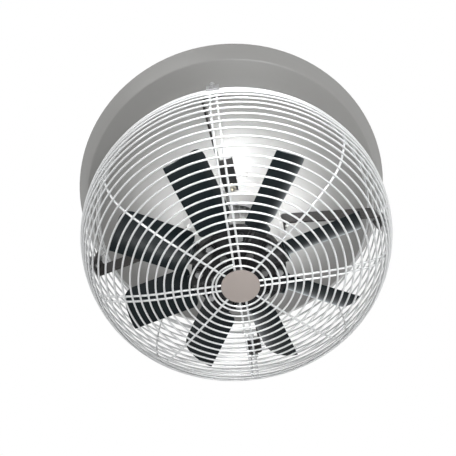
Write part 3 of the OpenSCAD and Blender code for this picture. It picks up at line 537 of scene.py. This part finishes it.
def painted_highlight_group(name):
    """Round painted highlight: on faces that look down, a pale colour is painted near the axis in place of the
    lamps' reflection, and turns into the outer colour away from the axis.
    """
    tree, given, result = new_group(
        name,
        {"Outer": (0.3, 0.3, 0.3, 1), "Inner": (0.8, 0.8, 0.8, 1), "Full": 0.15, "Gone": 0.33, "Curve": 1.5},
        {"Colour": (0, 0, 0, 1)},
    )
    inward = remap(tree, axis_distance(tree), low=given["Gone"], high=given["Full"])
    # Only faces that look down, towards the camera and the lamps, get the painted highlight
    down = remap(tree, upward(tree), low=0.1, high=-0.4)
    share = product(tree, maths(tree, "POWER", inward, given["Curve"]), down)
    feed(tree, result["Colour"], blend_colours(tree, share, given["Outer"], given["Inner"]))
    return tree


GROUPS = {"Fine grain": grain_group, "Dust film": dust_group, "Rubbed edges": rub_group,
          "Handling sheen": sheen_group, "Round fade": painted_highlight_group}


def use_group(tree, name, values):
    """A node of the named group, which is built at its first use."""
    shared = bpy.data.node_groups.get(name) or GROUPS[name](name)
    return add(tree, "ShaderNodeGroup", values, node_tree=shared)


# Materials

# Tint and roughness of the pale sheen on faces that turn away
FUZZ_TINT, FUZZ_ROUGH = (0.85, 0.95, 1.0, 1.0), 0.25
# Roughness of a clear coat as a share of the paint's
COAT_ROUGH = 0.8
# Depth of the grain of plated metal in metres, and of rings as a share of their step
PLATE_DEPTH, RING_DEPTH = 0.00002, 0.05


def new_material(name):
    """An empty material: its tree and its Principled shader."""
    material = bpy.data.materials.new(name)
    material.use_nodes = True
    tree = material.node_tree
    tree.nodes.clear()
    shader = tree.nodes.new("ShaderNodeBsdfPrincipled")
    output = tree.nodes.new("ShaderNodeOutputMaterial")
    tree.links.new(shader.outputs[0], output.inputs["Surface"])
    return material, tree, shader


def feed_shader(tree, shader, values, height, depth):
    """Feeds a Principled shader, with a bump of a depth in metres."""
    bump = add(tree, "ShaderNodeBump", {"Height": height, "Distance": depth, "Strength": 1.0})
    for label, value in {**values, "Normal": bump.outputs[0]}.items():
        feed(tree, shader.inputs[label], value)


def coated(name, tint, rough, grain=900.0, depth=0.00003, change=0.06, rub=0.0, coat=0.0, shine=0.5,
           metal=0.0, middle=None, fuzz=0.0):
    """Paint, powder coat or plastic, with grain, dust and edges where the metal below comes through, and, where
    middle is given, a painted highlight of that colour near the axis.
    """
    colours, details = settings()
    material, tree, shader = new_material(name)
    tint = (*tint, 1)
    # middle is the colour of a painted highlight, painted near the axis on the faces that look down
    if middle:
        tint = use_group(tree, "Round fade", {"Outer": tint, "Inner": (*middle, 1)}).outputs["Colour"]
    skin = use_group(tree, "Fine grain", {"Colour": tint, "Scale": grain, "Change": change})
    base = skin.outputs["Colour"]
    if rub:
        edges = use_group(tree, "Rubbed edges", {"Amount": rub * details.rub_amount})
        base = blend_colours(tree, edges.outputs["Mask"], base, (*colours.bare, 1))
    sheen = use_group(tree, "Handling sheen", {"Roughness": rough, "Spread": 0.12})
    film = use_group(tree, "Dust film", {
        "Colour": base, "Dust": (*colours.dust, 1), "Amount": details.dust_amount,
        "Roughness": sheen.outputs["Roughness"]})
    feed_shader(tree, shader, {
        "Base Color": film.outputs["Colour"], "Roughness": film.outputs["Roughness"], "Metallic": metal,
        "Specular IOR Level": shine, "Coat Weight": coat, "Coat Roughness": rough * COAT_ROUGH,
        "Sheen Weight": fuzz, "Sheen Tint": FUZZ_TINT, "Sheen Roughness": FUZZ_ROUGH},
        skin.outputs["Height"], depth)
    return material


def plated(name, tint, rough, change=0.12, scale=300.0):
    """Plated metal with a soft, cloudy surface."""
    material, tree, shader = new_material(name)
    skin = use_group(tree, "Fine grain", {"Colour": (*tint, 1), "Scale": scale, "Change": change})
    sheen = use_group(tree, "Handling sheen", {"Roughness": rough, "Spread": 0.25, "Scale": 60.0})
    feed_shader(tree, shader, {
        "Base Color": skin.outputs["Colour"], "Roughness": sheen.outputs["Roughness"], "Metallic": 1.0},
        skin.outputs["Height"], PLATE_DEPTH)
    return material


def ringed(name, tint, rough, step, metal):
    """Turned metal, stacked sheets or wound wire: rings about the fan's axis, a step in metres apart."""
    material, tree, shader = new_material(name)
    along = maths(tree, "ADD", axis_distance(tree), height_part(tree, own_place(tree)))
    wave = maths(tree, "SINE", product(tree, along, 2 * math.pi / step), 0.0)
    skin = use_group(tree, "Fine grain", {"Colour": (*tint, 1), "Scale": 500.0, "Change": 0.1})
    sheen = use_group(tree, "Handling sheen", {"Roughness": rough, "Spread": 0.1, "Scale": 40.0})
    feed_shader(tree, shader, {
        "Base Color": skin.outputs["Colour"], "Roughness": sheen.outputs["Roughness"], "Metallic": metal},
        wave, step * RING_DEPTH)
    return material


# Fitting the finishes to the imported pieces

# Corners closer than this are one, in metres, and edges that bend more than these angles are sharp or rounded
JOIN_GAP, SHARP_ANGLE, ROUND_ANGLE = 0.000002, 28, 35


def smoother():
    """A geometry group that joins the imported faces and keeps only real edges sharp."""
    if "Join faces" in bpy.data.node_groups:
        return bpy.data.node_groups["Join faces"]
    tree = bpy.data.node_groups.new("Join faces", "GeometryNodeTree")
    tree.interface.new_socket("Geometry", in_out="INPUT", socket_type="NodeSocketGeometry")
    tree.interface.new_socket("Geometry", in_out="OUTPUT", socket_type="NodeSocketGeometry")
    given, result = tree.nodes.new("NodeGroupInput").outputs[0], tree.nodes.new("NodeGroupOutput").inputs[0]
    forget = add(tree, "GeometryNodeRemoveAttribute", {"Geometry": given, "Name": "custom_normal"})
    joined = add(tree, "GeometryNodeMergeByDistance", {"Geometry": forget.outputs[0], "Distance": JOIN_GAP})
    smooth = add(tree, "GeometryNodeSetShadeSmooth", {
        "Geometry": joined.outputs[0], "Shade Smooth": True}, domain="FACE")
    angle = add(tree, "GeometryNodeInputMeshEdgeAngle").outputs["Unsigned Angle"]
    gentle = add(tree, "FunctionNodeCompare", {0: angle, 1: math.radians(SHARP_ANGLE)}, operation="LESS_THAN")
    edges = add(tree, "GeometryNodeSetShadeSmooth", {
        "Geometry": smooth.outputs[0], "Shade Smooth": gentle.outputs[0]}, domain="EDGE")
    feed(tree, result, edges.outputs[0])
    return tree


def round_edges(piece, width, segments):
    """A bevel on the piece's sharp edges."""
    bevel = piece.modifiers.new("Rounded edges", "BEVEL")
    bevel.width = width
    bevel.segments = segments
    bevel.limit_method = "ANGLE"
    bevel.angle_limit = math.radians(ROUND_ANGLE)
    bevel.use_clamp_overlap = True


def dress(material, edge, *nodes, segments=2):
    """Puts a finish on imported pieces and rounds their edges, or leaves the edges alone at 0."""
    for node in nodes:
        piece = NODES[node]
        piece.data.materials.clear()
        piece.data.materials.append(material)
        join = piece.modifiers.new("Join faces", "NODES")
        join.node_group = smoother()
        if edge:
            round_edges(piece, edge, segments)
            even = piece.modifiers.new("Even shading", "WEIGHTED_NORMAL")
            even.keep_sharp = True


# Steps, one for each group of pieces

class FAN_OT_dish(bpy.types.Operator):
    """Powder coats the dish, with a painted highlight on its flare near the motor, and paints the motor's
    pedestal
    """

    bl_idname = "fan.dish"
    bl_label = "Dish"

    def execute(self, context):
        colours, details = settings()
        # The coat turns to the flare's painted highlight colour near the motor, where the lamps' reflection lies
        coat = coated("Dish powder coat", colours.dish, 0.36, grain=1400.0, depth=0.00002, change=0.03,
                      coat=0.3, middle=colours.flare_highlight)
        dress(coat, details.sheet_round, "deflector_dish")
        paint = coated("Pedestal paint", colours.pedestal, 0.4, grain=1400.0, change=0.03)
        dress(paint, details.casting_round, "motor_pedestal")
        return {"FINISHED"}


class FAN_OT_guard(bpy.types.Operator):
    """Coats the guard's wires, rings and spokes, welds them where they cross and paints the centre plate"""

    bl_idname = "fan.guard"
    bl_label = "Guard"

    def execute(self, context):
        colours, details = settings()
        coat = coated("Guard wire coating", colours.wire, 0.32, grain=2200.0, depth=0.00002, change=0.04,
                      coat=0.2, metal=0.5)
        dress(coat, 0, "guard_front_spiral", "guard_side_spiral", "guard_inner_ring", "guard_rear_ring",
              "double_spokes", "single_spokes")
        shape = bmesh.new()
        for place, along, away in crossings():
            add_weld(shape, place - away * (WIRE_D / 2), along, away, details.weld_radius / MM)
        new_piece("guard_welds", shape, coat, "housing")
        paint = coated("Centre plate paint", colours.plate, 0.45, grain=1600.0, depth=0.00002, change=0.05)
        dress(paint, details.screw_round, "centre_plate")
        return {"FINISHED"}


class FAN_OT_blades(bpy.types.Operator):
    """Makes the moulded blades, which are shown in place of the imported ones"""

    bl_idname = "fan.blades"
    bl_label = "Blades"

    def execute(self, context):
        colours, details = settings()
        plastic = coated("Blade plastic", colours.blade, 0.34, grain=2600.0, depth=0.00002, change=0.1,
                         shine=0.15, fuzz=0.9)
        for k, node in enumerate(BLADES):
            angle = math.radians(BLADE_FIRST + BLADE_STEP * k)
            turn = Matrix.Translation((0, 0, BLADE_Z)) @ Matrix.Rotation(angle, 4, "Z")
            shape = bmesh.new()
            add_blade(shape, turn, details.blade_points, details.root_fillet / MM)
            add_drum(shape, turn, DISC_LOW, DISC_HIGH, DISC_R)
            add_drum(shape, turn, SHANK_LOW, BLADE_ROOT, SHANK_R)
            add_drum(shape, turn, COLLAR_LOW, COLLAR_LOW + COLLAR_T, COLLAR_R)
            piece = new_piece("moulded_" + node, shape, plastic, "impeller")
            round_edges(piece, details.mould_round, segments=3)
            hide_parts(node)
        return {"FINISHED"}


class FAN_OT_hub(bpy.types.Operator):
    """Finishes the hub's halves, its bush, the shaft, its seal and the bearings"""

    bl_idname = "fan.hub"
    bl_label = "Hub"

    def execute(self, context):
        colours, details = settings()
        cast = coated("Hub casting", colours.casting, 0.4, grain=1100.0, depth=0.0001, change=0.2, rub=0.5,
                      shine=0.3)
        dress(cast, details.casting_round, "hub_front", "hub_rear", "hub_bush", segments=3)
        turned = ringed("Turned steel", colours.steel, 0.28, step=0.0006, metal=1.0)
        dress(turned, details.screw_round, "shaft", "shaft_key", "rear_bearing", "front_bearing")
        rubber = coated("Seal rubber", colours.seal, 0.7, grain=1500.0, depth=0.00004, change=0.2)
        dress(rubber, 0, "shaft_seal")
        return {"FINISHED"}


class FAN_OT_motor(bpy.types.Operator):
    """Finishes the motor's housing, shields and inner parts"""

    bl_idname = "fan.motor"
    bl_label = "Motor"

    def execute(self, context):
        colours, details = settings()
        cast = coated("Motor paint", colours.motor, 0.42, grain=800.0, depth=0.00012, rub=0.3)
        dress(cast, details.casting_round * 0.6, "motor_housing", "rear_shield", "front_shield")
        core = ringed("Core sheets", colours.core, 0.45, step=0.001, metal=0.9)
        dress(core, 0, "stator_core", "rotor_core")
        winding = ringed("Copper winding", colours.copper, 0.3, step=0.0012, metal=0.9)
        dress(winding, 0, "stator_windings")
        return {"FINISHED"}


class FAN_OT_arms(bpy.types.Operator):
    """Paints the flat bars between the pedestal and the guard"""

    bl_idname = "fan.arms"
    bl_label = "Arms"

    def execute(self, context):
        colours, details = settings()
        paint = coated("Arm paint", colours.arm, 0.42, grain=1300.0, change=0.15, rub=0.5, shine=0.35)
        dress(paint, details.sheet_round, "arm_1", "arm_2", "arm_3", "arm_4")
        return {"FINISHED"}


class FAN_OT_junction_box(bpy.types.Operator):
    """Finishes the junction box, its cable gland and the motor's lead"""

    bl_idname = "fan.junction_box"
    bl_label = "Junction box"

    def execute(self, context):
        colours, details = settings()
        plastic = coated("Box plastic", colours.casting, 0.5, grain=1800.0, depth=0.00005, change=0.15)
        dress(plastic, details.casting_round, "junction_box", "junction_lid")
        dress(plated("Nickel plate", colours.nickel, 0.25), details.screw_round, "cable_gland")
        sheath = coated("Lead sheath", colours.sheath, 0.55, grain=1500.0, depth=0.00004, change=0.1)
        dress(sheath, 0, "motor_lead")
        return {"FINISHED"}


class FAN_OT_fasteners(bpy.types.Operator):
    """Zinc plates the screws, nuts, washers, clips and the hanger"""

    bl_idname = "fan.fasteners"
    bl_label = "Fasteners"

    def execute(self, context):
        colours, details = settings()
        bright = plated("Bright zinc", colours.zinc, 0.3)
        dress(bright, details.screw_round, "hanger_bolts", "hanger_washers", "clip_bolts", "clip_nuts",
              "pedestal_screws", "pedestal_nuts", "box_screws", "lid_screws", "hub_bolts", "hub_nuts")
        dull = plated("Dull zinc", colours.screw, 0.42)
        dress(dull, details.screw_round, "shield_screws", "arm_bolts", "bush_bolts", "bush_nuts",
              "shaft_washer", "shaft_bolt")
        dipped = plated("Hot-dip zinc", colours.zinc, 0.42, change=0.3, scale=90.0)
        dress(dipped, details.sheet_round, "hanger_bracket", "guard_clips")
        return {"FINISHED"}


# The studio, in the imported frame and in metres

# Where the camera stands and how it is turned
CAMERA_PLACE = Vector((0.020, -0.4298, -0.977))
CAMERA_RIGHT = Vector((0.989299, 0.142560, -0.031030))
CAMERA_UP = Vector((0.140808, -0.877249, 0.458920))
CAMERA_AHEAD = Vector((-0.038203, 0.458379, 0.887936))
# Each lamp's name, the setting of its power, its place, its aim, its width and its spread in degrees
LAMPS = (
    ("Key lamp", "key_power", (0.5, -0.9, -1.22), (0, 0, -0.25), 0.65, 180),
    ("Pool lamp", "pool_power", (0.15, -0.5, -1.3), (0.08, 0.03, -0.08), 0.25, 45),
    ("Fill lamp", "fill_power", (-0.74, -1.78, -0.83), (0, 0, -0.25), 1.4, 180),
    ("Side lamp", "side_power", (0.1, -1.2, -0.6), (0.0, 0.28, -0.13), 0.12, 26),
)
FLOOR_HALF, FLOOR_GREY, FLOOR_ROUGH = 4, (0.35, 0.35, 0.35, 1), 0.9
# Distances from the floor's middle where its glow starts to rise and where it is full, and the least glow
GLOW_NEAR, GLOW_FAR, GLOW_LEAST = 0.8, 3.6, 0.8
WHITE = (1, 1, 1, 1)


class FAN_OT_studio(bpy.types.Operator):
    """Sets up the floor, the light and the camera"""

    bl_idname = "fan.studio"
    bl_label = "Studio"

    def seen_rays(self, tree):
        """1 for the rays that show the backdrop, in mirrors too, and 0 for the light on the fan."""
        path = tree.nodes.new("ShaderNodeLightPath").outputs
        mirror = maths(tree, "MAXIMUM", path["Is Camera Ray"], path["Is Glossy Ray"])
        return maths(tree, "MAXIMUM", mirror, path["Is Transmission Ray"])

    def floor_material(self):
        """Pale and matt, and fading to pure white with the distance."""
        material, tree, shader = new_material("Pale floor")
        feed(tree, shader.inputs["Base Color"], FLOOR_GREY)
        feed(tree, shader.inputs["Roughness"], FLOOR_ROUGH)
        glow = add(tree, "ShaderNodeEmission", {"Color": WHITE, "Strength": 1.0})
        far = remap(tree, vector_length(tree, own_place(tree)), GLOW_NEAR, GLOW_FAR, least=GLOW_LEAST)
        share = product(tree, self.seen_rays(tree), far)
        mix = add(tree, "ShaderNodeMixShader", {0: share, 1: shader.outputs[0], 2: glow.outputs[0]})
        output = next(node for node in tree.nodes if node.type == "OUTPUT_MATERIAL")
        feed(tree, output.inputs["Surface"], mix.outputs[0])
        return material

    def add_floor(self, drop):
        """A wide plain floor under the fan, which keeps the fan's shadow."""
        mesh = bpy.data.meshes.new("floor")
        shape = bmesh.new()
        bmesh.ops.create_grid(shape, x_segments=1, y_segments=1, size=FLOOR_HALF)
        shape.to_mesh(mesh)
        shape.free()
        mesh.materials.append(self.floor_material())
        floor = bpy.data.objects.new("floor", mesh)
        floor.location.z = -drop
        bpy.context.collection.objects.link(floor)

    def add_room(self, scene, sky):
        """White where it is seen, and a little darker as light."""
        world = bpy.data.worlds.new("Plain room")
        world.use_nodes = True
        scene.world = world
        tree = world.node_tree
        tree.nodes.clear()
        level = remap(tree, self.seen_rays(tree), 0.0, 1.0, least=sky)
        light = add(tree, "ShaderNodeBackground", {"Color": WHITE, "Strength": level})
        feed(tree, tree.nodes.new("ShaderNodeOutputWorld").inputs["Surface"], light.outputs[0])

    def add_lamp(self, name, power, place, target, width, spread):
        """A square lamp that shines from its place towards the target."""
        data = bpy.data.lights.new(name, "AREA")
        data.energy = power
        data.size = width
        data.spread = math.radians(spread)
        light = bpy.data.objects.new(name, data)
        light.location = place
        light.rotation_euler = (Vector(target) - Vector(place)).to_track_quat("-Z", "Y").to_euler()
        bpy.context.collection.objects.link(light)

    def add_camera(self, scene, lens):
        """The camera, where the photograph was taken from."""
        data = bpy.data.cameras.new("Camera")
        data.lens = lens
        data.sensor_width = 36
        data.clip_start, data.clip_end = 0.01, 50
        camera = bpy.data.objects.new("Camera", data)
        turn = Matrix((CAMERA_RIGHT, CAMERA_UP, -CAMERA_AHEAD)).transposed().to_4x4()
        camera.matrix_world = Matrix.Translation(CAMERA_PLACE) @ turn
        bpy.context.collection.objects.link(camera)
        scene.camera = camera

    def execute(self, context):
        scene, studio = context.scene, context.scene.fan_studio
        self.add_floor(studio.floor_drop)
        self.add_room(scene, studio.sky)
        for name, setting, *rest in LAMPS:
            self.add_lamp(name, getattr(studio, setting), *rest)
        self.add_camera(scene, studio.lens)
        scene.view_settings.view_transform = "Standard"
        return {"FINISHED"}


class FAN_PT_panel(bpy.types.Panel):
    """Shows the steps, the colours, the details and the studio's settings"""

    bl_label = "Fan"
    bl_idname = "FAN_PT_panel"
    bl_space_type = "VIEW_3D"
    bl_region_type = "UI"
    bl_category = "Fan"

    def draw(self, context):
        for step in STEPS:
            self.layout.operator(step.bl_idname)
        for name in VALUES:
            values = getattr(context.scene, name)
            box = self.layout.box()
            for setting in values.__annotations__:
                box.prop(values, setting)


STEPS = (FAN_OT_studio, FAN_OT_dish, FAN_OT_guard, FAN_OT_blades, FAN_OT_hub, FAN_OT_motor, FAN_OT_arms,
         FAN_OT_junction_box, FAN_OT_fasteners)
VALUES = {"fan_colours": FanColours, "fan_details": FanDetails, "fan_studio": FanStudio}


def register():
    """Registers the settings, the steps and the panel."""
    for made in (*VALUES.values(), *STEPS, FAN_PT_panel):
        bpy.utils.register_class(made)
    for name, kind in VALUES.items():
        setattr(bpy.types.Scene, name, PointerProperty(type=kind))


def unregister():
    """Takes the settings, the steps and the panel out again."""
    for name in VALUES:
        delattr(bpy.types.Scene, name)
    for made in reversed((*VALUES.values(), *STEPS, FAN_PT_panel)):
        bpy.utils.unregister_class(made)


def main():
    """Takes every step in order."""
    register()
    for step in STEPS:
        space, name = step.bl_idname.split(".")
        getattr(getattr(bpy.ops, space), name)()


if __name__ == "__main__":
    main()
